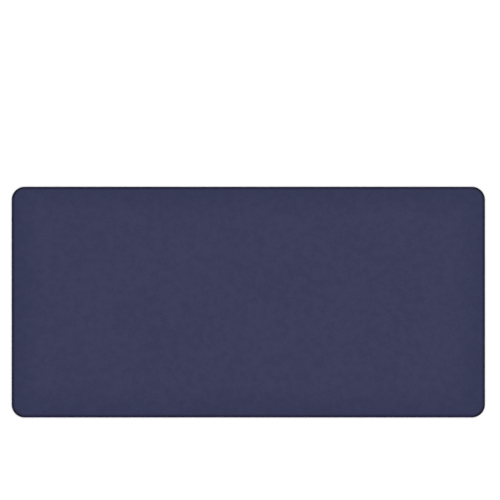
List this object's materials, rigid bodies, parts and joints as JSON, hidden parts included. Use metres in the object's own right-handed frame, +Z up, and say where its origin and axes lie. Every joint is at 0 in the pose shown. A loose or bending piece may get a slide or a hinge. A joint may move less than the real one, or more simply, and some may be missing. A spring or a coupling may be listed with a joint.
{
  "type": "desk mat",
  "caption": "Thin rectangular desk mat in navy synthetic leather with rounded corners, a pressed border and a dark sealed edge.",
  "frame": {"origin": "centre of the underside's bounding rectangle, on the desk surface", "axes": "+X along the mat's length, to the right of the person at the desk; +Y away from that person; +Z up out of the working face"},
  "size_m": [0.8, 0.39, 0.002],
  "materials": {
    "grained_leather": "fine-grained navy synthetic leather, satin",
    "foamed_coat": "soft foamed polyurethane, navy",
    "knitted_cloth": "grey knitted polyester base cloth",
    "adhesive_film": "cured clear adhesive, slightly yellow",
    "edge_paint": "near-black navy edge paint, satin"
  },
  "bodies": {
    "root": {"top_skin": "grained_leather", "top_foam": "foamed_coat", "top_cloth": "knitted_cloth", "bond_film": "adhesive_film", "bottom_cloth": "knitted_cloth", "bottom_foam": "foamed_coat", "bottom_skin": "grained_leather", "edge_seal": "edge_paint"}
  },
  "joints": []
}
